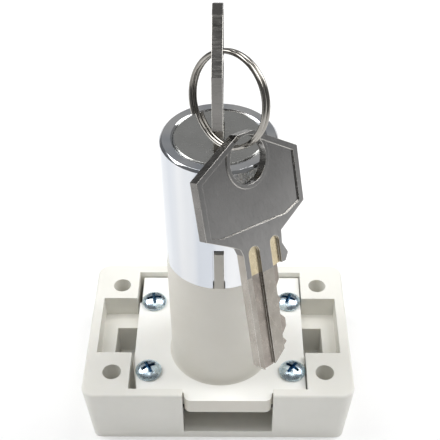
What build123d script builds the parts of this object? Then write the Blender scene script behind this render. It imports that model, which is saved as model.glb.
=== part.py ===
"""Selector key switch: keyed barrel on a screwed-down collar plate, in a white surface housing.

Millimetres, +Z up. The origin is on the barrel axis, on the plane of the housing's bottom face.
X runs along the housing's long side, and +Y points to the housing's back.
"""
from build123d import *
import os
from math import cos, radians, sin

# ---- housing ----
HOUSING_X, HOUSING_Y, HOUSING_Z = 59.6, 40.4, 15.3
HOUSING_CX, HOUSING_CY = -0.45, 4.4          # housing centre, seen from the barrel axis
CORNER_R, FOOT_CORNER_R = 3.0, 1.8            # at the top and at the bottom of the drafted walls
DRAFT_X, DRAFT_Y = 1.5, 0.3                  # how far the walls lean in, top to bottom, on each side
FLOOR_Z = 1.7
SILL_Z = 2.2                                 # lower edge of the front slot
RECESS_HALF_X = 19.55
RECESS_FRONT, RECESS_BACK = -13.7, 22.05
SLOT_X0, SLOT_X1 = -8.2, 11.6                # front slot, also the notch for the plate's tab
POCKET_HALF_X = 27.4                         # outer wall of the side pockets
POCKET_FRONT, POCKET_BACK = -3.45, 13.3
WELL_HALF_X = 24.2                           # opening in the floor of each side pocket
WELL_BACK = 8.75
MOUNT_HOLE_R = 2.05
MOUNT_X, MOUNT_Y = 47.0, 26.6
MOUNT_CX, MOUNT_CY = -0.45, 4.25
PEG_XY = ((-8.5, -6.5), (8.5, -6.5))
PEG_R = 1.2
SCREW_BOSS_R = 2.8

# ---- collar plate and tube ----
PLATE_BOTTOM, PLATE_TOP = 9.7, 13.7
PLATE_GAP = 0.25
TAB_GAP = 0.3
TUBE_R = 11.0
TUBE_BORE_R = 9.3
SEAM_Z = 43.7                                # joint between plastic tube and metal sleeve
NUT_FLANGE_Z0, NUT_FLANGE_Z1 = 31.0, 33.0
WEB_TOP_Z = 11.7
PLATE_SCREW_X = 16.0
PLATE_SCREW_Y = (-7.65, 13.4)

# ---- lock sleeve and core ----
TOP_Z = 72.7
CORE_R, CORE_BORE_R = 8.5, 8.56
JOURNAL_R, JOURNAL_BORE_R = 6.0, 6.06
SHOULDER_Z = 50.0
SPIGOT_R = 9.2
THREAD_R = 7.6
KEY_SLOT_W, KEY_SLOT_H = 2.4, 10.3           # slot at the sleeve's lower front edge
RIB_W, RIB_H = 1.9, 9.2
WAFER_COUNT, WAFER_PITCH, WAFER_TOP_Z = 4, 3.4, 68.0
WAFER_T, WAFER_W, WAFER_L = 1.2, 6.0, 14.8
WAFER_LIFT = 0.5
CLIP_Z = 44.9
CLIP_T = 0.8

# ---- drive line and contacts ----
SHAFT_SIDE = 4.0
SHAFT_Z0, SHAFT_Z1 = 4.8, 46.4
ROTOR_R = 8.0
ROTOR_Z0, ROTOR_Z1 = 4.5, 7.0
ROTOR_JOURNAL_R, WEB_BORE_R = 5.0, 5.06
BASE_TOP_Z = 3.5
STRIP_T = 0.5
CONTACT_R = 6.2
TERMINAL_X = (-9.0, 0.0, 9.0)
TERMINAL_Y = 15.5
DETENT_R = 6.7                               # radius of the detent notches
DETENT_ANGLE = 135.0
NOTCH_Z, NOTCH_R = 7.65, 1.25
LEAF_SCREW_R = 11.6

# ---- keys and ring ----
KEY_T = 1.8
BOW_HALF_W, BOW_CORNER_V, BOW_SIDE = 12.2, 5.4, 10.4
BOW_TOP_HALF_W = 1.9
HOLE_V, HOLE_R = 4.75, 4.3
BLADE_HALF_W = 4.4
SHOULDER_V = 25.4
KEY_LENGTH = 44.0
KEY_TOP_Z = 98.45
RING_CENTRE = Vector(1.898, -6.362, 84.927)
RING_NORMAL = Vector(-0.669, -0.691, 0.274)
RING_R, RING_WIRE_R, RING_PITCH = 8.21, 0.42, 0.88
SPARE_TOP = Vector(3.407, -8.785, 80.022)     # middle of the spare key's top edge, rear face
SPARE_NORMAL = Vector(0.6851, -0.62, 0.3825)
SPARE_ACROSS = Vector(0.7135, 0.6769, -0.1807)


STANDING = (Align.CENTER, Align.CENTER, Align.MIN)


def cyl(radius, z0, z1, x=0.0, y=0.0):
    """Upright cylinder from z0 to z1."""
    return Pos(x, y, (z0 + z1) / 2) * Cylinder(radius, z1 - z0)


def block(x0, x1, y0, y1, z0, z1):
    """Box given by its limits."""
    return Pos((x0 + x1) / 2, (y0 + y1) / 2, (z0 + z1) / 2) * Box(x1 - x0, y1 - y0, z1 - z0)


def soften(part, edges, radius):
    """Fillet the edges, or the largest part of the radius that they allow."""
    for share in (1.0, 0.6, 0.3):
        try:
            return fillet(edges, radius * share)
        except Exception:
            continue
    return part


def polar(radius, angle):
    """Point in the XY plane, from a radius and an angle in degrees."""
    return radius * cos(radians(angle)), radius * sin(radians(angle))


def grid(xs, ys):
    return [(x, y) for x in xs for y in ys]


def coil(radius, wire_r, z0, z1, turns):
    """Round-wire coil spring standing on z0."""
    height = z1 - z0 - 2 * wire_r
    path = Helix(pitch=height / turns, height=height, radius=radius)
    section = Plane(origin=path @ 0, z_dir=path % 0) * Circle(wire_r)
    return Pos(0, 0, z0 + wire_r) * sweep(section, path=path, is_frenet=True)


def pan_screw(head_r, head_h, shank_r, length):
    """Cross-recess pan screw, head seat at z = 0, pointing down."""
    head = cyl(head_r, 0, head_h)
    head = soften(head, head.edges().group_by(Axis.Z)[-1], head_h * 0.7)
    arm = head_r * 1.1
    cross = Box(arm, head_h * 0.36, head_h) + Box(head_h * 0.36, arm, head_h)
    head -= Pos(0, 0, head_h * 0.95) * cross
    shank = cyl(shank_r, -length, 0)
    shank = chamfer(shank.edges().group_by(Axis.Z)[0], shank_r * 0.6)
    return head + shank


# ---------------- housing ----------------
def make_housing():
    foot = RectangleRounded(HOUSING_X - 2 * DRAFT_X, HOUSING_Y - 2 * DRAFT_Y, FOOT_CORNER_R)
    brim = Pos(0, 0, HOUSING_Z) * RectangleRounded(HOUSING_X, HOUSING_Y, CORNER_R)
    body = Pos(HOUSING_CX, HOUSING_CY, 0) * loft([foot.face(), brim.face()], ruled=True)
    body = soften(body, body.faces().sort_by(Axis.Z)[-1].edges(), 0.6)
    x0, x1 = HOUSING_CX - RECESS_HALF_X, HOUSING_CX + RECESS_HALF_X
    cut_top = HOUSING_Z + 1
    body -= block(x0, x1, RECESS_FRONT, RECESS_BACK, FLOOR_Z, cut_top)
    front = HOUSING_CY - HOUSING_Y / 2
    body -= block(SLOT_X0, SLOT_X1, front - 1, RECESS_FRONT + 0.1, SILL_Z, cut_top)
    for side in (-1, 1):
        inner = HOUSING_CX + side * (RECESS_HALF_X - 0.1)
        outer = HOUSING_CX + side * POCKET_HALF_X
        body -= block(*sorted((inner, outer)), POCKET_FRONT, POCKET_BACK, PLATE_BOTTOM, cut_top)
        well = HOUSING_CX + side * WELL_HALF_X
        body -= block(*sorted((inner, well)), POCKET_FRONT, WELL_BACK, FLOOR_Z, cut_top)
    for x, y in grid((-MOUNT_X / 2, MOUNT_X / 2), (-MOUNT_Y / 2, MOUNT_Y / 2)):
        body -= cyl(MOUNT_HOLE_R, -1, cut_top, MOUNT_CX + x, MOUNT_CY + y)
    for x, y in grid((-PLATE_SCREW_X, PLATE_SCREW_X), PLATE_SCREW_Y):
        body += cyl(SCREW_BOSS_R, FLOOR_Z - 0.2, PLATE_BOTTOM, x, y)
        body -= cyl(1.2, FLOOR_Z + 0.8, PLATE_BOTTOM + 1, x, y)
    for x, y in PEG_XY:
        body += cyl(PEG_R, FLOOR_Z - 0.2, BASE_TOP_Z + 0.6, x, y)
    return body


# ---------------- collar plate ----------------
def make_collar_plate():
    x0 = HOUSING_CX - RECESS_HALF_X + PLATE_GAP + 0.3
    x1 = HOUSING_CX + RECESS_HALF_X - PLATE_GAP
    y0, y1 = RECESS_FRONT + 0.15, RECESS_BACK - PLATE_GAP
    plate = block(x0, x1, y0, y1, PLATE_BOTTOM, PLATE_TOP)
    front = HOUSING_CY - HOUSING_Y / 2
    tab = block(SLOT_X0 + TAB_GAP, SLOT_X1 - TAB_GAP, front + 0.1, y0 + 0.5, PLATE_BOTTOM, PLATE_TOP)
    tab = soften(tab, tab.edges().filter_by(Axis.Z).group_by(Axis.Y)[0], 1.6)
    plate += tab
    # the left side is relieved in front of the side pocket
    relief = Polyline((x0 - 1, POCKET_FRONT), (x0, POCKET_FRONT), (x0 + 1.35, RECESS_FRONT - 0.5),
                      (x0 - 1, RECESS_FRONT - 0.5), close=True)
    plate -= Pos(0, 0, PLATE_BOTTOM - 1) * extrude(make_face(relief), PLATE_TOP - PLATE_BOTTOM + 2)
    plate -= block(x0 - 1, x0 + 0.45, POCKET_BACK, RECESS_BACK, PLATE_BOTTOM - 1, PLATE_TOP + 1)
    tube = cyl(TUBE_R, PLATE_BOTTOM, SEAM_Z)
    root = Pos(0, 0, PLATE_TOP) * Cone(TUBE_R + 0.5, TUBE_R, 0.9, align=STANDING)
    part = plate + tube + root
    part -= cyl(TUBE_BORE_R, WEB_TOP_Z, NUT_FLANGE_Z0)
    part -= cyl(THREAD_R + 0.1, NUT_FLANGE_Z0 - 1, NUT_FLANGE_Z1 + 1)
    part -= cyl(TUBE_BORE_R, NUT_FLANGE_Z1, SEAM_Z + 1)
    part -= cyl(WEB_BORE_R, PLATE_BOTTOM - 1, WEB_TOP_Z + 1)
    part -= cyl(0.8, PLATE_BOTTOM - 1, PLATE_BOTTOM + 2.6, *polar(LEAF_SCREW_R, DETENT_ANGLE))
    for x, y in grid((-PLATE_SCREW_X, PLATE_SCREW_X), PLATE_SCREW_Y):
        part -= cyl(1.6, PLATE_BOTTOM - 1, PLATE_TOP + 1, x, y)
    ring = cyl(TUBE_R - 0.03, SEAM_Z - 0.5, SEAM_Z + RIB_H)
    ring -= cyl(TUBE_R - 0.95, SEAM_Z - 1, SEAM_Z + RIB_H + 1)
    part += ring & block(-RIB_W / 2, RIB_W / 2, -TUBE_R - 1, 0, SEAM_Z - 0.5, SEAM_Z + RIB_H)
    return part


def make_plate_screws():
    return [Pos(x, y, PLATE_TOP) * pan_screw(2.9, 2.0, 1.2, 9.5)
            for x, y in grid((-PLATE_SCREW_X, PLATE_SCREW_X), PLATE_SCREW_Y)]


# ---------------- lock ----------------
def make_lock_sleeve():
    outer = cyl(TUBE_R, SEAM_Z + 0.02, TOP_Z)
    outer = chamfer(outer.edges().group_by(Axis.Z)[-1], 0.45)
    sleeve = outer + cyl(SPIGOT_R, NUT_FLANGE_Z1 + 0.02, SEAM_Z + 0.1)
    sleeve += cyl(THREAD_R, 26.5, NUT_FLANGE_Z1 + 0.1)
    sleeve -= cyl(CORE_BORE_R, SHOULDER_Z, TOP_Z + 1)
    sleeve -= Pos(0, 0, TOP_Z - 0.35) * Cone(CORE_BORE_R, CORE_BORE_R + 0.36, 0.36, align=STANDING)
    sleeve -= cyl(JOURNAL_BORE_R, 26, SHOULDER_Z + 1)
    sleeve -= cyl(7.0, 26, 45.9)
    slot_x = KEY_SLOT_W / 2
    sleeve -= block(-slot_x, slot_x, -TUBE_R - 1, -TUBE_R + 1.1, SEAM_Z - 0.1, SEAM_Z + KEY_SLOT_H)
    # two grooves that the wafers lock into when the key is out
    wafers_low = WAFER_TOP_Z - (WAFER_COUNT - 1) * WAFER_PITCH
    groove = cyl(9.7, wafers_low - 1.5, WAFER_TOP_Z + 1.5)
    groove &= block(-3.4, 3.4, -TUBE_R, TUBE_R, wafers_low - 1.5, WAFER_TOP_Z + 1.5)
    return sleeve - groove


def make_sleeve_nut():
    nut = cyl(9.0, 28.2, NUT_FLANGE_Z0 - 0.02) - cyl(THREAD_R + 0.02, 28, NUT_FLANGE_Z0)
    for k in range(4):
        nut -= Rot(0, 0, 90 * k + 45) * block(-1.0, 1.0, 8.2, 10, 28, 30)
    return nut


def wafer_levels():
    return [WAFER_TOP_Z - k * WAFER_PITCH for k in range(WAFER_COUNT)]


def make_lock_core():
    core = cyl(CORE_R, SHOULDER_Z + 0.05, TOP_Z - 0.05)
    core = chamfer(core.edges().group_by(Axis.Z)[-1], 0.25)
    core += cyl(JOURNAL_R, 41.0, SHOULDER_Z + 1)
    keyway_h = BLADE_HALF_W + 0.15
    keyway_w = KEY_T / 2 + 0.12
    core -= block(-keyway_w, keyway_w, -keyway_h, keyway_h, KEY_TOP_Z - KEY_LENGTH - 0.4, TOP_Z + 1)
    slot = WAFER_T / 2 + 0.05
    for z in wafer_levels():
        core -= block(-WAFER_W / 2 - 0.06, WAFER_W / 2 + 0.06, -CORE_R - 1, CORE_R + 1, z - slot, z + slot)
        core -= block(WAFER_W / 2, 5.2, -1.4, 3.6, z - slot, z + slot)
    core -= cyl(JOURNAL_R + 1, CLIP_Z, CLIP_Z + CLIP_T + 0.1) - cyl(5.0, CLIP_Z, CLIP_Z + CLIP_T + 0.1)
    socket = SHAFT_SIDE / 2 + 0.04
    core -= block(-socket, socket, -socket, socket, 40, SHAFT_Z1 + 0.1)
    return core - Pos(0, 0, 43.0) * Rot(90, 0, 0) * Cylinder(0.8, 20)


def make_core_clip():
    clip = cyl(6.7, CLIP_Z + 0.05, CLIP_Z + CLIP_T + 0.05) - cyl(5.04, CLIP_Z, CLIP_Z + CLIP_T + 1)
    return clip - block(-3.2, 3.2, -8, 0, CLIP_Z - 1, CLIP_Z + CLIP_T + 1)


def make_wafer(z):
    """Flat wafer with a window for the blade and a ledge for its spring."""
    lower, upper = z - WAFER_T / 2, z + WAFER_T / 2
    wafer = block(-WAFER_W / 2, WAFER_W / 2, -WAFER_L / 2, WAFER_L / 2, lower, upper)
    wafer = fillet(wafer.edges().filter_by(Axis.Z), 1.0)
    wafer += block(WAFER_W / 2 - 0.2, 5.0, -1.2, 0.0, lower, upper)
    half_t = KEY_T / 2 + 0.15
    window_y0 = -BLADE_HALF_W - WAFER_LIFT - 0.2
    return wafer - block(-half_t, half_t, window_y0, BLADE_HALF_W + 0.15, lower - 1, upper + 1)


def make_wafer_spring(z):
    """Spring along +Y between the wafer's ledge and the end of its pocket."""
    spring = coil(0.38, 0.12, 0.02, 3.0, 5)
    return Pos(4.1, 0, z) * Rot(-90, 0, 0) * spring


def make_shaft_pin():
    return Pos(0, 0, 43.0) * Rot(90, 0, 0) * Cylinder(0.78, 11.6)


def make_drive_shaft():
    half = SHAFT_SIDE / 2
    shaft = block(-half, half, -half, half, SHAFT_Z0, SHAFT_Z1)
    shaft = chamfer(shaft.edges().filter_by(Axis.Z), 0.3)
    return shaft - Pos(0, 0, 43.0) * Rot(90, 0, 0) * Cylinder(0.8, 20)


# ---------------- contact side ----------------
def make_rotor():
    rotor = cyl(ROTOR_R, ROTOR_Z0, ROTOR_Z1) + cyl(ROTOR_JOURNAL_R, ROTOR_Z1 - 0.1, 12.6)
    rotor += cyl(2.4, 1.9, ROTOR_Z0 + 0.1)
    hole = SHAFT_SIDE / 2 + 0.04
    rotor -= block(-hole, hole, -hole, hole, SHAFT_Z0 - 0.1, 14)
    for k in range(4):
        rotor -= Pos(*polar(DETENT_R, DETENT_ANGLE + 90 * k), NOTCH_Z) * Sphere(NOTCH_R)
    return rotor


def make_contact_bridge():
    """Quarter-turn brass bridge under the rotor: it joins two neighbouring contact pads."""
    z0, z1 = BASE_TOP_Z + STRIP_T + 0.04, ROTOR_Z0
    hub = cyl(3.4, z0 + 0.15, z1) - cyl(2.42, z0, z1 + 1)
    for angle in (90, 180):
        arm = block(2.9, CONTACT_R + 1.0, -1.1, 1.1, z0 + 0.15, z1)
        arm += cyl(0.9, z0, z0 + 0.3, CONTACT_R, 0)
        hub += Rot(0, 0, angle) * arm
    return hub


def make_contact_base():
    base = block(-12.4, 12.4, -8.6, 19.5, FLOOR_Z, BASE_TOP_Z)
    base = fillet(base.edges().filter_by(Axis.Z), 1.0)
    base -= cyl(2.46, 0, 10)
    for x, y in PEG_XY:
        base -= cyl(PEG_R + 0.04, 0, 10, x, y)
    for x in (-4.5, 4.5):
        base += block(x - 0.6, x + 0.6, 10.5, 19.5, BASE_TOP_Z - 0.1, 8.4)
    return base


def make_common_contact():
    z0, z1 = BASE_TOP_Z, BASE_TOP_Z + STRIP_T
    return block(-1.6, 1.6, CONTACT_R - 1.3, TERMINAL_Y + 2.2, z0, z1)


def make_side_contact(side):
    z0, z1 = BASE_TOP_Z, BASE_TOP_Z + STRIP_T
    reach = sorted((side * (CONTACT_R - 1.3), side * 10.6))
    strip = block(*reach, -1.6, 1.6, z0, z1)
    leg = sorted((side * 7.4, side * 10.6))
    return strip + block(*leg, -1.6, TERMINAL_Y + 2.2, z0, z1)


def make_terminal_clamps():
    clamps = []
    z0, z1 = BASE_TOP_Z + STRIP_T, 8.4
    for x in TERMINAL_X:
        clamp = block(x - 2.6, x + 2.6, TERMINAL_Y - 2.5, TERMINAL_Y + 2.5, z0, z1)
        clamp -= Pos(x, TERMINAL_Y, z0 + 1.7) * Rot(90, 0, 0) * Cylinder(1.25, 8)
        clamp -= cyl(1.22, z0 + 1.7, z1 + 1, x, TERMINAL_Y)
        clamps.append(clamp)
    return clamps


def make_terminal_screws():
    screws = []
    for x in TERMINAL_X:
        screw = cyl(1.2, 6.0, 8.5, x, TERMINAL_Y) + cyl(1.9, 8.4, 9.5, x, TERMINAL_Y)
        screws.append(screw - block(x - 2.5, x + 2.5, TERMINAL_Y - 0.3, TERMINAL_Y + 0.3, 8.9, 10))
    return screws


def make_detent_leaf():
    """Flat spring under the plate; its dimple drops into the rotor's notches."""
    t = 0.3
    lower = [(5.4, NOTCH_Z - 0.5), (8.0, NOTCH_Z - 0.5), (10.2, PLATE_BOTTOM - t), (13.0, PLATE_BOTTOM - t)]
    upper = [(x, z + t) for x, z in reversed(lower)]
    profile = make_face(Plane.XZ * Polyline(*lower, *upper, close=True))
    leaf = Pos(0, 1.4, 0) * extrude(profile, 2.8, dir=(0, -1, 0))
    cap = Pos(DETENT_R, 0, NOTCH_Z) * Sphere(NOTCH_R - 0.12)
    leaf += cap & block(4, 9, -2, 2, 0, NOTCH_Z - 0.35)
    leaf -= cyl(0.9, 9, 11, LEAF_SCREW_R, 0)
    return Rot(0, 0, DETENT_ANGLE) * leaf


def make_leaf_screw():
    screw = Rot(180, 0, 0) * pan_screw(1.3, 0.8, 0.8, 2.8)
    return Pos(*polar(LEAF_SCREW_R, DETENT_ANGLE), PLATE_BOTTOM - 0.3) * screw


# ---------------- keys ----------------
def key_outline():
    """Key outline in (across, down from the top edge); bow, neck, bitted blade."""
    low_v = BOW_CORNER_V + BOW_SIDE
    w, b = BOW_HALF_W, BLADE_HALF_W
    left = [(-BOW_TOP_HALF_W, 0), (-w, BOW_CORNER_V), (-w, low_v), (-b - 1.9, low_v + 3.0)]
    neck = [(-b - 0.5, low_v + 3.9), (-b, low_v + 5.2), (-b, KEY_LENGTH - 1.2), (-b + 1.2, KEY_LENGTH)]
    tip = [(-0.7, KEY_LENGTH), (b - 0.9, KEY_LENGTH - 2.9)]
    cuts = [(b - 0.9, 40.9), (b - 1.9, 39.6), (b - 0.4, 38.0), (b - 0.4, 36.4), (b - 1.5, 35.2),
            (b - 1.5, 33.4), (b - 0.9, 32.4), (b - 1.5, 31.2), (b - 1.5, 29.6), (b - 0.6, 28.4),
            (b - 0.6, SHOULDER_V)]
    right = [(b + 1.2, SHOULDER_V), (b + 2.1, 24.0), (b + 0.9, 21.8), (b + 1.1, low_v + 3.6),
             (w, low_v), (w, BOW_CORNER_V), (BOW_TOP_HALF_W, 0)]
    return left + neck + tip + cuts + right


def panel_outline(margin):
    """Recessed panel of the bow, inside its raised rim."""
    w = BOW_HALF_W - margin
    low_v = BOW_CORNER_V + BOW_SIDE
    return [(-BOW_TOP_HALF_W, margin), (-w, BOW_CORNER_V + 0.5 * margin), (-w, low_v - 0.3 * margin),
            (-w + 2.4, low_v + 0.6), (BOW_HALF_W * 0.6, low_v + 1.0), (w, low_v - 0.3 * margin),
            (w, BOW_CORNER_V + 0.5 * margin), (BOW_TOP_HALF_W, margin)]


def slab(points, x0, x1):
    """Plate in the key's own frame: X across its thickness, Y across, -Z down the blade."""
    face = make_face(Plane.YZ * Polyline(*[(u, -v) for u, v in points], close=True))
    return Pos(x0, 0, 0) * extrude(face, x1 - x0, dir=(1, 0, 0))


def make_key():
    """Key with its top edge at z = 0; the rear face is x = 0 and the front face x = KEY_T."""
    key = slab(key_outline(), 0, KEY_T)
    corners = key.edges().filter_by(Axis.X)
    key = soften(key, corners.group_by(Axis.Z)[-1], 0.5)
    panel = slab(panel_outline(1.15), 0, 0.3)
    key -= Pos(KEY_T - 0.3, 0, 0) * panel
    key -= panel
    boss = Pos(0, 0, -HOLE_V) * Rot(0, 90, 0) * Cylinder(HOLE_R + 0.75, KEY_T - 0.2, align=STANDING)
    key += Pos(0.1, 0, 0) * (boss & slab(panel_outline(0.6), -1, KEY_T + 1))
    key -= Pos(-1, 0, -HOLE_V) * Rot(0, 90, 0) * Cylinder(HOLE_R, KEY_T + 2, align=STANDING)
    groove_top = BOW_CORNER_V + BOW_SIDE + 5.6
    for y0, y1, depth, top in ((-3.2, -0.5, 0.55, groove_top), (2.3, 4.6, 0.5, groove_top - 0.4)):
        middle = (y0 + y1) / 2
        width = y1 - y0
        run = block(KEY_T - depth, KEY_T + 1, y0, y1, -KEY_LENGTH - 1, -top)
        start = Rot(0, 90, 0) * Cylinder(width / 2, depth + 1, align=STANDING)
        start = Pos(KEY_T - depth, middle, -top) * start
        key -= run + start
    key -= block(-1, 0.5, -0.2, 1.2, -KEY_LENGTH - 1, -groove_top)
    return key


def make_switch_key():
    return Pos(-KEY_T / 2, 0, KEY_TOP_Z) * make_key()


def make_spare_key():
    down = Plane(origin=SPARE_TOP, x_dir=SPARE_NORMAL, z_dir=SPARE_NORMAL.cross(SPARE_ACROSS))
    return down.location * make_key()


def make_key_ring():
    """Two-turn split ring: a close helix with flat-cut ends."""
    path = Helix(pitch=RING_PITCH, height=2 * RING_PITCH, radius=RING_R)
    section = Plane(origin=path @ 0, z_dir=path % 0) * Circle(RING_WIRE_R)
    ring = sweep(section, path=path, is_frenet=True)
    stand = Plane(origin=RING_CENTRE, x_dir=RING_NORMAL.cross(Vector(0, 0, 1)), z_dir=RING_NORMAL)
    return stand.location * Rot(0, 0, 40) * Pos(0, 0, -RING_PITCH) * ring


def build_all():
    parts = {
        "housing": make_housing(),
        "collar_plate": make_collar_plate(),
        "plate_screws": make_plate_screws(),
        "lock_sleeve": make_lock_sleeve(),
        "sleeve_nut": make_sleeve_nut(),
        "lock_core": make_lock_core(),
        "core_clip": make_core_clip(),
        "shaft_pin": make_shaft_pin(),
        "drive_shaft": make_drive_shaft(),
        "rotor": make_rotor(),
        "contact_bridge": make_contact_bridge(),
        "contact_base": make_contact_base(),
        "common_contact": make_common_contact(),
        "contact_left": make_side_contact(-1),
        "contact_right": make_side_contact(1),
        "terminal_clamps": make_terminal_clamps(),
        "terminal_screws": make_terminal_screws(),
        "detent_leaf": make_detent_leaf(),
        "leaf_screw": make_leaf_screw(),
        "switch_key": make_switch_key(),
        "spare_key": make_spare_key(),
        "key_ring": make_key_ring(),
    }
    for k, z in enumerate(wafer_levels(), start=1):
        parts[f"wafer_{k}"] = make_wafer(z)
        parts[f"wafer_spring_{k}"] = make_wafer_spring(z)
    return parts


def main():
    os.makedirs("parts", exist_ok=True)
    for name, shape in build_all().items():
        solids = shape if isinstance(shape, list) else [shape]
        whole = solids[0] if len(solids) == 1 else Compound(children=[s for s in solids])
        export_step(whole, f"parts/{name}.step")


main()
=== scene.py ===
"""Looks of the selector key switch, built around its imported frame. Metres, +Z up, same frame as the CAD."""
from math import cos, pi, radians, sin

import bmesh
import bpy
from mathutils import Matrix, Vector


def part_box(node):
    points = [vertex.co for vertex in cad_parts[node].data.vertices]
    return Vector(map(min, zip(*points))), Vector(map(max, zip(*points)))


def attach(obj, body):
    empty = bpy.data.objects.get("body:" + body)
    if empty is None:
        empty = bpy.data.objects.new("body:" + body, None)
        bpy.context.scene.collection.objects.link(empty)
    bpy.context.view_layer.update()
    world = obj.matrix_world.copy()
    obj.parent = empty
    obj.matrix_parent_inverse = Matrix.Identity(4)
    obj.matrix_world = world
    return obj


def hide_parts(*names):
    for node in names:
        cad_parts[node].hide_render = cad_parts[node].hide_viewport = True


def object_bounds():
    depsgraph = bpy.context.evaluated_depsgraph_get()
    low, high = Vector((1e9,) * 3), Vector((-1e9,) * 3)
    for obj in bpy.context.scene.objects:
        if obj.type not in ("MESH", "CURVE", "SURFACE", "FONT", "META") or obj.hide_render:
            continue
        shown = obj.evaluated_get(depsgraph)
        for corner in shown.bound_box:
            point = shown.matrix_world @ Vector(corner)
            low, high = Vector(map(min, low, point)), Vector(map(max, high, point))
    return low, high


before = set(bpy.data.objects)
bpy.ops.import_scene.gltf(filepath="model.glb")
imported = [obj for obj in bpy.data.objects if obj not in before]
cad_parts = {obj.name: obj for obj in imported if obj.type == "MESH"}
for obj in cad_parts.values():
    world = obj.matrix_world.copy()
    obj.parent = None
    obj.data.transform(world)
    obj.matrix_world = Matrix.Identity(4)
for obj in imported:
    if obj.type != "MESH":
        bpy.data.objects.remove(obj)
CAD_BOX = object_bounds()
MM = 0.001

# ---- viewing angle ----
CAMERA_PLACE = Vector((2.52, -134.61, 171.69)) * MM
CAMERA_PITCH, CAMERA_YAW = 43.696, -0.269      # degrees below the horizon, degrees to the left of +Y
LENS_MM, SENSOR_MM = 73.76, 36.0
SHIFT_X, SHIFT_Y = -0.0204, 0.0744

# ---- key poses, as in the CAD ----
KEY_T = 1.8 * MM
KEY_TOP_Z = 98.45 * MM
GROOVE_TOP = 21.0 * MM                        # the blade's milled grooves start this far below the top edge
SPARE_TOP = Vector((3.407, -8.785, 80.022)) * MM
SPARE_NORMAL = Vector((0.6851, -0.62, 0.3825)).normalized()
SPARE_ACROSS = Vector((0.7135, 0.6769, -0.1807)).normalized()
RING_CENTRE = Vector((1.898, -6.362, 84.927)) * MM
RING_NORMAL = Vector((-0.669, -0.691, 0.274)).normalized()
RING_R, RING_WIRE_R, RING_PITCH = 8.21 * MM, 0.42 * MM, 0.88 * MM
RING_START, RING_STEPS = radians(40), 240
PLATE_TOP, SEAM_Z = 13.7 * MM, 43.7 * MM


# ---------------- materials ----------------
class Nodes:
    """Short names for building one material's node tree."""

    def __init__(self, name):
        self.material = bpy.data.materials.new(name)
        self.material.use_nodes = True
        self.tree = self.material.node_tree
        self.shader = self.tree.nodes["Principled BSDF"]
        coords = self.tree.nodes.new("ShaderNodeTexCoord")
        self.object = coords.outputs["Object"]

    def set(self, **values):
        for name, value in values.items():
            self.shader.inputs[name.replace("_", " ")].default_value = value

    def link(self, source, target):
        self.tree.links.new(source, self.shader.inputs[target] if isinstance(target, str) else target)

    def scaled(self, scale):
        """Object coordinates stretched by scale, a vector."""
        mapping = self.tree.nodes.new("ShaderNodeMapping")
        mapping.inputs["Scale"].default_value = scale
        self.tree.links.new(self.object, mapping.inputs["Vector"])
        return mapping.outputs["Vector"]

    def noise(self, scale, detail=3.0, roughness=0.55, stretch=None):
        node = self.tree.nodes.new("ShaderNodeTexNoise")
        node.inputs["Scale"].default_value = scale
        node.inputs["Detail"].default_value = detail
        node.inputs["Roughness"].default_value = roughness
        self.tree.links.new(self.scaled(stretch) if stretch else self.object, node.inputs["Vector"])
        return node.outputs["Fac"]

    def ramp(self, source, *stops):
        """Colour ramp; each stop is (place, colour)."""
        node = self.tree.nodes.new("ShaderNodeValToRGB")
        elements = node.color_ramp.elements
        while len(elements) < len(stops):
            elements.new(0.5)
        for element, (place, colour) in zip(elements, stops):
            element.position = place
            element.color = (*colour, 1) if len(colour) == 3 else colour
        self.tree.links.new(source, node.inputs["Fac"])
        return node.outputs["Color"]

    def span(self, source, low, high, from_low=0.3, from_high=0.7):
        """Source mapped to the range low to high."""
        node = self.tree.nodes.new("ShaderNodeMapRange")
        limits = {"From Min": from_low, "From Max": from_high, "To Min": low, "To Max": high}
        for name, value in limits.items():
            node.inputs[name].default_value = value
        self.tree.links.new(source, node.inputs["Value"])
        return node.outputs["Result"]

    def bump(self, *layers):
        """Bump from (height, strength, distance) layers, chained."""
        normal = None
        for height, strength, distance in layers:
            node = self.tree.nodes.new("ShaderNodeBump")
            node.inputs["Strength"].default_value = strength
            node.inputs["Distance"].default_value = distance
            self.tree.links.new(height, node.inputs["Height"])
            if normal:
                self.tree.links.new(normal, node.inputs["Normal"])
            normal = node.outputs["Normal"]
        self.link(normal, "Normal")


def plastic(name, colour, shade, roughness=0.38):
    """Moulded plastic: faint mottling, fine spark-eroded grain, a little light inside."""
    n = Nodes(name)
    cloud = n.noise(90.0, 4.0)
    n.link(n.ramp(cloud, (0.30, shade), (0.72, colour)), "Base Color")
    n.link(n.span(n.noise(700.0), roughness - 0.07, roughness + 0.09), "Roughness")
    n.set(Subsurface_Weight=0.12, Subsurface_Scale=0.0012)
    n.shader.inputs["Subsurface Radius"].default_value = (1.0, 0.9, 0.75)
    n.shader.inputs["IOR"].default_value = 1.49
    n.bump((n.noise(4200.0, 2.0), 0.10, 0.00003), (n.noise(160.0, 2.0), 0.06, 0.00012))
    return n.material


def metal(name, colour, shade, roughness, grain=(1.0, 1.0, 0.06), depth=0.2, scale=300.0, tarnish_and_reflection=0.25,
          bands=None):
    """Metal with soft tarnished patches and fine scratches; grain stretches the scratches, bands stretch the
    patches, which on the chrome are painted reflections.
    """
    n = Nodes(name)
    n.set(Metallic=1.0)
    cloud = n.noise(scale, 2.0 if bands else 5.0, 0.5, bands)
    n.link(n.ramp(cloud, (0.5 - tarnish_and_reflection, shade), (0.5 + tarnish_and_reflection, colour)), "Base Color")
    streak = n.noise(1500.0, 3.0, 0.6, grain)
    n.link(n.span(streak, roughness * 0.7, roughness * 1.35), "Roughness")
    n.bump((streak, depth, 0.00002), (n.noise(240.0, 3.0), 0.05, 0.00006))
    return n.material


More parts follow.
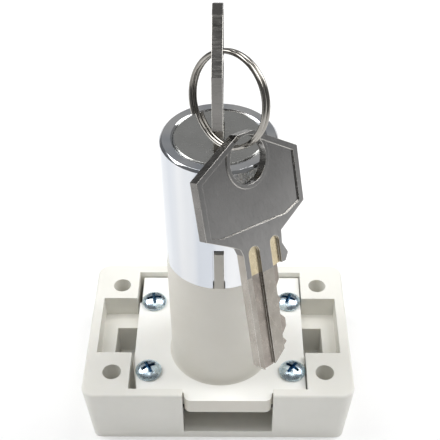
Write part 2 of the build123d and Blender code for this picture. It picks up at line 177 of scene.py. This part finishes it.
def make_materials():
    """Every finish by its short name; colours run from the clean surface to its darker patches, which on the
    chrome are painted reflections.
    """
    return {
        "white": plastic("white plastic", (0.86, 0.85, 0.80), (0.82, 0.81, 0.755)),
        "collar": plastic("collar plastic", (0.80, 0.775, 0.71), (0.76, 0.735, 0.665)),
        # painted light: a lighter copy of the collar plastic, for the plate's upward faces
        "plate": plastic("collar plastic with painted light", (0.93, 0.925, 0.89), (0.90, 0.895, 0.855)),
        # painted shade: a darker copy of the collar plastic, for the rib in the sleeve's slot
        "rib": plastic("collar plastic with painted shade", (0.60, 0.575, 0.52), (0.54, 0.515, 0.465)),
        "black": plastic("black nylon", (0.020, 0.020, 0.022), (0.012, 0.012, 0.013), 0.45),
        # also the painted shade along the sleeve's lower rounded edge
        "grey": plastic("grey phenolic and painted seam shade", (0.045, 0.045, 0.05), (0.03, 0.03, 0.034), 0.45),
        # painted reflection: bluish shade stretched into vertical bands round the sleeve
        "chrome": metal("polished chrome", (0.88, 0.88, 0.88), (0.60, 0.63, 0.68), 0.09,
                        grain=(1.0, 1.0, 0.03), depth=0.03, scale=110.0, tarnish_and_reflection=0.12,
                        bands=(1.0, 1.0, 0.02)),
        "core": metal("satin nickel core", (0.62, 0.62, 0.60), (0.54, 0.54, 0.52), 0.22,
                      grain=(0.3, 1.6, 1.0), depth=0.06),
        # painted highlight: a lighter metal for the keys' rounded edges
        "edge": metal("key edge with painted highlight", (0.80, 0.78, 0.74), (0.62, 0.60, 0.56), 0.22,
                      grain=(1.0, 1.0, 1.0), depth=0.1),
        "key": metal("nickel key", (0.32, 0.315, 0.31), (0.24, 0.237, 0.232), 0.20,
                     grain=(1.0, 1.0, 0.1), depth=0.04, scale=90.0),
        # painted shade: a darker copy of the key nickel, for the sides of the keys' bows
        "rim": metal("key rim with painted shade", (0.26, 0.25, 0.24), (0.18, 0.175, 0.165), 0.24,
                     grain=(0.2, 1.0, 1.0), depth=0.1, scale=200.0),
        "blade": metal("worn key blade", (0.48, 0.45, 0.41), (0.34, 0.31, 0.27), 0.30,
                       grain=(1.0, 1.0, 0.2), depth=0.03, scale=220.0),
        "brassy": metal("bare brass", (0.86, 0.76, 0.54), (0.68, 0.57, 0.37), 0.28,
                        grain=(1.0, 1.0, 0.2), depth=0.05, scale=260.0),
        "milled": metal("milled groove", (0.43, 0.39, 0.35), (0.30, 0.265, 0.235), 0.30,
                        grain=(1.0, 1.0, 0.2), depth=0.05, scale=260.0),
        "bitting": metal("grimy cut edge", (0.36, 0.29, 0.21), (0.20, 0.155, 0.11), 0.34,
                         grain=(1.0, 0.2, 1.0), depth=0.3, scale=400.0),
        "ring": metal("nickel spring wire", (0.48, 0.46, 0.425), (0.30, 0.285, 0.26), 0.13,
                      grain=(0.4, 0.4, 0.4), depth=0.08),
        "zinc": metal("blue zinc", (0.80, 0.90, 0.96), (0.52, 0.68, 0.80), 0.26,
                      grain=(1.0, 1.0, 1.0), depth=0.2, scale=1300.0),
        "recess": metal("shaded zinc", (0.30, 0.50, 0.66), (0.10, 0.22, 0.34), 0.25,
                        grain=(1.0, 1.0, 1.0), depth=0.3, scale=1300.0),
        "steel": metal("zinc-plated steel", (0.66, 0.67, 0.68), (0.50, 0.51, 0.53), 0.30),
        "spring": metal("spring steel", (0.52, 0.53, 0.55), (0.38, 0.39, 0.42), 0.25),
        "brass": metal("stamped brass", (0.84, 0.64, 0.30), (0.66, 0.47, 0.20), 0.28),
    }


MATERIALS = make_materials()


# ---------------- pieces ----------------
WELD = 0.000001
FLAT_ANGLE = radians(0.4)
SHARP_ANGLE = 32.0                            # degrees; edges sharper than this are rounded


def cad_mesh(node):
    """The node's shape as a bmesh: welded, with the triangles of each flat face joined."""
    bm = bmesh.new()
    bm.from_mesh(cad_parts[node].data)
    bmesh.ops.remove_doubles(bm, verts=bm.verts, dist=WELD)
    bmesh.ops.dissolve_limit(bm, angle_limit=FLAT_ANGLE, verts=bm.verts, edges=bm.edges)
    return bm


def add_object(name, data):
    added = bpy.data.objects.new(name, data)
    bpy.context.scene.collection.objects.link(added)
    return added


def mesh_from(name, bm, materials):
    """Plain mesh of a bmesh, with its materials; the bmesh is used up."""
    mesh = bpy.data.meshes.new(name)
    bm.to_mesh(mesh)
    bm.free()
    for material in materials:
        mesh.materials.append(material)
    return mesh


def add_piece(name, bm, body, finishes):
    piece = add_object(name, mesh_from(name, bm, [MATERIALS[finish] for finish in finishes]))
    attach(piece, body)
    return piece


def apply_modifiers(piece):
    """Turns the piece's modifiers into plain mesh."""
    bpy.context.view_layer.update()
    evaluated = piece.evaluated_get(bpy.context.evaluated_depsgraph_get())
    mesh = bpy.data.meshes.new_from_object(evaluated)
    piece.modifiers.clear()
    piece.data = mesh


def shade_by_angle(piece, angle=SHARP_ANGLE):
    """Smooth shading up to the angle, with flat faces kept flat beside their rounded edges."""
    mesh = piece.data
    for polygon in mesh.polygons:
        polygon.use_smooth = True
    mesh.set_sharp_from_angle(angle=radians(angle))
    weighted = piece.modifiers.new("flat faces", "WEIGHTED_NORMAL")
    weighted.mode = "FACE_AREA"
    weighted.weight = 100
    weighted.keep_sharp = True
    apply_modifiers(piece)


def eased(node, body, finishes, width, segments, paint=None, split=None):
    """New piece with the node's shape and its sharp edges rounded by width.

    paint names the finish of a face from its centre and normal; split is a plane that divides long faces.
    """
    bm = cad_mesh(node)
    if split:
        place, normal = split
        bmesh.ops.bisect_plane(bm, geom=[*bm.verts, *bm.edges, *bm.faces], plane_co=place, plane_no=normal)
    piece = add_piece(node + "_finish", bm, body, finishes)
    bevel = piece.modifiers.new("ease", "BEVEL")
    bevel.width = width
    bevel.segments = segments
    bevel.limit_method = "ANGLE"
    bevel.angle_limit = radians(SHARP_ANGLE)
    bevel.use_clamp_overlap = True
    bevel.harden_normals = False
    apply_modifiers(piece)
    shade_by_angle(piece)
    if paint:
        for polygon in piece.data.polygons:
            polygon.material_index = finishes.index(paint(polygon.center, polygon.normal))
    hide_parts(node)
    return piece


KEY_FINISHES = ("key", "blade", "brassy", "milled", "bitting", "rim", "edge")
KEY_EDGE_WIDTH = 0.16 * MM
BOW_END = GROOVE_TOP - 0.4 * MM               # the plated bow reaches this far down from the top edge
BRASS_END = GROOVE_TOP + 4.5 * MM             # below this the grooves are worn dull
BITTING_START, BITTING_SIDE = 26.0 * MM, 1.5 * MM
FACE_MARGIN = 0.2 * MM                        # deeper than this below a flat side is inside a groove
LEAN_LOW, LEAN_HIGH = 0.2, 0.97               # a rounded edge's normals lean between these


def key_frame(origin, normal, across):
    """Matrix from a key's own frame (X through its thickness, Y across, -Z down the blade) to the world."""
    down = -normal.cross(across)
    up = -down if down.z < 0 else down
    matrix = Matrix((normal, across, up)).transposed().to_4x4()
    matrix.translation = origin
    return matrix


def key_paint(matrix):
    """Chooser of a key's finishes, given the key's own frame."""
    inverse = matrix.inverted()
    turn = inverse.to_3x3()

    def paint(centre, normal):
        place, lean = inverse @ centre, abs((turn @ normal).x)
        down = -place.z
        # painted highlight on every rounded edge of the keys
        if LEAN_LOW < lean < LEAN_HIGH:
            return "edge"
        # painted shade on the bow's sides; its flat faces keep the key nickel
        if down < BOW_END:
            return "rim" if lean < 0.5 else "key"
        if FACE_MARGIN < place.x < KEY_T - FACE_MARGIN and lean > 0.7:
            return "brassy" if down < BRASS_END else "milled"
        if lean < 0.5 and place.y > BITTING_SIDE and down > BITTING_START:
            return "bitting"
        return "blade"

    return paint


COLLAR_FINISHES = ("collar", "plate", "rib")
SLEEVE_FINISHES = ("chrome", "grey")
RIB_START, SEAM_SHADE = 0.3 * MM, 0.22 * MM   # heights above the seam: where the rib's painted shade starts, where the sleeve's painted seam shade ends


def collar_paint(centre, normal):
    """Painted light and shade: a lighter copy of the collar plastic on the plate's upward faces, a darker
    copy on the rib in the sleeve's slot.
    """
    if centre.z < PLATE_TOP + 0.1 * MM:
        # painted light: the plate's upward faces get the lighter copy, its sides the plain collar plastic
        return "plate" if normal.z > 0.4 else "collar"
    # painted shade on the rib above the seam
    return "rib" if centre.z > SEAM_Z + RIB_START else "collar"


def sleeve_paint(centre, normal):
    """Painted shade: dark grey on the sleeve's lower rounded edge, where the seam above the tube is shaded.
    """
    return "grey" if centre.z < SEAM_Z + SEAM_SHADE and abs(normal.z) > 0.2 else "chrome"


def make_keys():
    """Both keys, with rounded rims and worn blades."""
    inserted = key_frame(Vector((-KEY_T / 2, 0, KEY_TOP_Z)), Vector((1, 0, 0)), Vector((0, 1, 0)))
    spare = key_frame(SPARE_TOP, SPARE_NORMAL, SPARE_ACROSS)
    for node, body, matrix in (("switch_key", "key", inserted), ("spare_key", "spare", spare)):
        up = matrix.col[2].to_3d()
        split = (matrix.translation - up * BRASS_END, up)
        eased(node, body, KEY_FINISHES, KEY_EDGE_WIDTH, 3, key_paint(matrix), split)


def make_ring():
    """Split ring: two close turns of round wire, with flat-cut ends."""
    z_axis = RING_NORMAL
    x_axis = z_axis.cross(Vector((0, 0, 1))).normalized()
    y_axis = z_axis.cross(x_axis)
    curve = bpy.data.curves.new("key_ring_finish", "CURVE")
    curve.dimensions = "3D"
    spline = curve.splines.new("POLY")
    spline.points.add(RING_STEPS)
    for k in range(RING_STEPS + 1):
        turn = RING_START + 4 * pi * k / RING_STEPS
        height = RING_PITCH * (2 * k / RING_STEPS - 1)
        place = RING_CENTRE + x_axis * cos(turn) * RING_R + y_axis * sin(turn) * RING_R + z_axis * height
        spline.points[k].co = (*place, 1)
    curve.bevel_depth = RING_WIRE_R
    curve.bevel_resolution = 6
    curve.use_fill_caps = True
    wire = add_object("key_ring_finish", curve)
    mesh = bpy.data.meshes.new_from_object(wire)
    bpy.data.objects.remove(wire)
    piece = add_object("key_ring_finish", mesh)
    mesh.materials.clear()
    mesh.materials.append(MATERIALS["ring"])
    shade_by_angle(piece, 50)
    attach(piece, "ring")
    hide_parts("key_ring")


def lathe(bm, profile, centre, segments=48):
    """Turned solid: profile is (radius, z) from the axis round to the axis again."""
    rings = []
    for radius, z in profile:
        if radius == 0:
            rings.append([bm.verts.new(centre + Vector((0, 0, z)))])
            continue
        rings.append([bm.verts.new(centre + Vector((radius * cos(2 * pi * k / segments),
                                                    radius * sin(2 * pi * k / segments), z)))
                      for k in range(segments)])
    for lower, upper in zip(rings, rings[1:]):
        for k in range(segments):
            corners = [lower[k % len(lower)], lower[(k + 1) % len(lower)],
                       upper[(k + 1) % len(upper)], upper[k % len(upper)]]
            distinct = list(dict.fromkeys(corners))
            bm.faces.new(distinct)


SCREW_HEAD_R, SCREW_HEAD_H = 2.9 * MM, 2.0 * MM
SCREW_SHANK_R, SCREW_LENGTH = 1.2 * MM, 9.5 * MM


def screw_profile():
    """Pan head with a rounded crown and edge, then the shank and its point."""
    steps = 8
    crown = []
    for k in range(steps + 1):
        turn = pi / 2 * k / steps
        crown.append((SCREW_HEAD_R * (0.62 * sin(turn) + 0.38 * (k / steps)) if k else 0,
                      SCREW_HEAD_H * (0.30 + 0.70 * cos(turn))))
    foot = [(SCREW_HEAD_R * 0.97, 0.05 * SCREW_HEAD_H), (SCREW_HEAD_R * 0.93, 0.0)]
    shank = [(SCREW_SHANK_R, 0), (SCREW_SHANK_R, -SCREW_LENGTH + 1.0 * MM), (0.4 * MM, -SCREW_LENGTH),
             (0, -SCREW_LENGTH)]
    return crown + foot + shank


# cross recess: height, half length and half width of an arm, at its foot and at its mouth
RECESS_ARM = ((SCREW_HEAD_H * 0.2, 0.9 * MM, 0.22 * MM), (SCREW_HEAD_H * 1.2, 2.15 * MM, 0.42 * MM))
SCREW_TURNS = (28, 10, 52, 68)                # degrees


def cross_cutter(bm, centre, turn):
    """Tapered cross recess: two crossed wedges that narrow downwards."""
    for arm in range(2):
        rotation = Matrix.Rotation(turn + arm * pi / 2, 3, "Z")
        corners = []
        for z, length, width in RECESS_ARM:
            for sx, sy in ((-1, -1), (1, -1), (1, 1), (-1, 1)):
                corners.append(bm.verts.new(centre + rotation @ Vector((sx * length, sy * width, z))))
        for face in ((3, 2, 1, 0), (4, 5, 6, 7), (0, 1, 5, 4), (1, 2, 6, 5), (2, 3, 7, 6), (3, 0, 4, 7)):
            bm.faces.new([corners[k] for k in face]).material_index = 1


def cut_away(piece, cutter_bm):
    """Takes the cutter's shape out of the piece; the cut faces keep the cutter's material indices."""
    cutter = add_object("cutter", mesh_from("cutter", cutter_bm, piece.data.materials))
    modifier = piece.modifiers.new("cut", "BOOLEAN")
    modifier.object = cutter
    modifier.operation = "DIFFERENCE"
    modifier.solver = "EXACT"
    modifier.use_self = True
    apply_modifiers(piece)
    bpy.data.objects.remove(cutter)


def make_screws():
    """Four pan screws with tapered cross recesses, each turned its own way."""
    low, high = (Vector(corner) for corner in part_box("plate_screws"))
    xs = (low.x + SCREW_HEAD_R, high.x - SCREW_HEAD_R)
    ys = (low.y + SCREW_HEAD_R, high.y - SCREW_HEAD_R)
    turns = iter(SCREW_TURNS)
    for i, x in enumerate(xs):
        for j, y in enumerate(ys):
            centre = Vector((x, y, PLATE_TOP))
            bm = bmesh.new()
            lathe(bm, screw_profile(), centre)
            bmesh.ops.recalc_face_normals(bm, faces=bm.faces)
            piece = add_piece(f"plate_screw_{1 + 2 * i + j}", bm, "base", ("zinc", "recess"))
            cutter = bmesh.new()
            cross_cutter(cutter, centre, radians(next(turns)))
            cut_away(piece, cutter)
            shade_by_angle(piece, 40)
            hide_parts("plate_screws")


CARRIED_OVER = {
    "sleeve_nut": "steel", "core_clip": "spring", "shaft_pin": "steel", "drive_shaft": "steel",
    "rotor": "black", "contact_bridge": "brass", "contact_base": "grey", "common_contact": "brass",
    "contact_left": "brass", "contact_right": "brass", "terminal_clamps": "steel",
    "terminal_screws": "steel", "detent_leaf": "spring", "leaf_screw": "steel",
}


def dress_cad_nodes():
    """Materials for the CAD nodes that keep their own mesh."""
    finishes = dict(CARRIED_OVER)
    for k in range(1, 5):
        finishes[f"wafer_{k}"] = "brass"
        finishes[f"wafer_spring_{k}"] = "spring"
    for node, finish in finishes.items():
        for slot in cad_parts[node].material_slots:
            slot.material = MATERIALS[finish]


# ---------------- stage ----------------
FLOOR_HALF = 5.0


def make_floor():
    bottom = CAD_BOX[0][2]
    bm = bmesh.new()
    corners = ((-1, -1), (1, -1), (1, 1), (-1, 1))
    bm.faces.new([bm.verts.new((x * FLOOR_HALF, y * FLOOR_HALF, bottom)) for x, y in corners])
    n = Nodes("floor")
    n.set(Roughness=0.8)
    n.shader.inputs["Base Color"].default_value = (0.70, 0.70, 0.70, 1)
    n.shader.inputs["Emission Color"].default_value = (1, 1, 1, 1)
    n.shader.inputs["Emission Strength"].default_value = 0.31
    add_object("floor", mesh_from("floor", bm, [n.material]))


# name, place, target, width, height, watts
SOFTBOXES = (
    ("left box", (-0.33, 0.08, 0.50), (0, 0.02, 0.02), 0.34, 0.50, 2.35),
    ("right box", (0.33, 0.08, 0.50), (0, 0.02, 0.02), 0.34, 0.50, 2.45),
    ("high front", (0, -0.20, 0.54), (0, 0, 0.02), 0.22, 0.22, 0.24),
    ("back panel", (0, 0.75, 0.72), (0, 0, 0.06), 0.80, 0.50, 0.19),
)


def area_light(name, place, target, width, height, power):
    light = bpy.data.lights.new(name, "AREA")
    light.shape = "RECTANGLE"
    light.size, light.size_y = width, height
    light.energy = power
    lamp = add_object(name, light)
    lamp.location = place
    lamp.rotation_euler = (Vector(target) - Vector(place)).to_track_quat("-Z", "Y").to_euler()


def make_lights():
    world = bpy.data.worlds.new("studio")
    bpy.context.scene.world = world
    world.use_nodes = True
    world.node_tree.nodes["Background"].inputs["Color"].default_value = (0.98, 0.99, 1.0, 1)
    world.node_tree.nodes["Background"].inputs["Strength"].default_value = 0.16
    for softbox in SOFTBOXES:
        area_light(*softbox)


def make_camera():
    camera = bpy.data.cameras.new("camera")
    camera.lens, camera.sensor_width = LENS_MM, SENSOR_MM
    camera.shift_x, camera.shift_y = SHIFT_X, SHIFT_Y
    camera.clip_start = 0.005
    view = add_object("camera", camera)
    view.location = CAMERA_PLACE
    view.rotation_euler = (radians(90 - CAMERA_PITCH), 0, radians(-CAMERA_YAW))
    bpy.context.scene.camera = view


eased("housing", "base", ("white",), 0.25 * MM, 3)
eased("collar_plate", "base", COLLAR_FINISHES, 0.22 * MM, 3, collar_paint)
eased("lock_sleeve", "base", SLEEVE_FINISHES, 0.17 * MM, 2, sleeve_paint)
eased("lock_core", "core", ("core",), 0.08 * MM, 2)
make_keys()
make_ring()
make_screws()
dress_cad_nodes()
make_floor()
make_lights()
make_camera()
bpy.context.scene.view_settings.view_transform = "Standard"
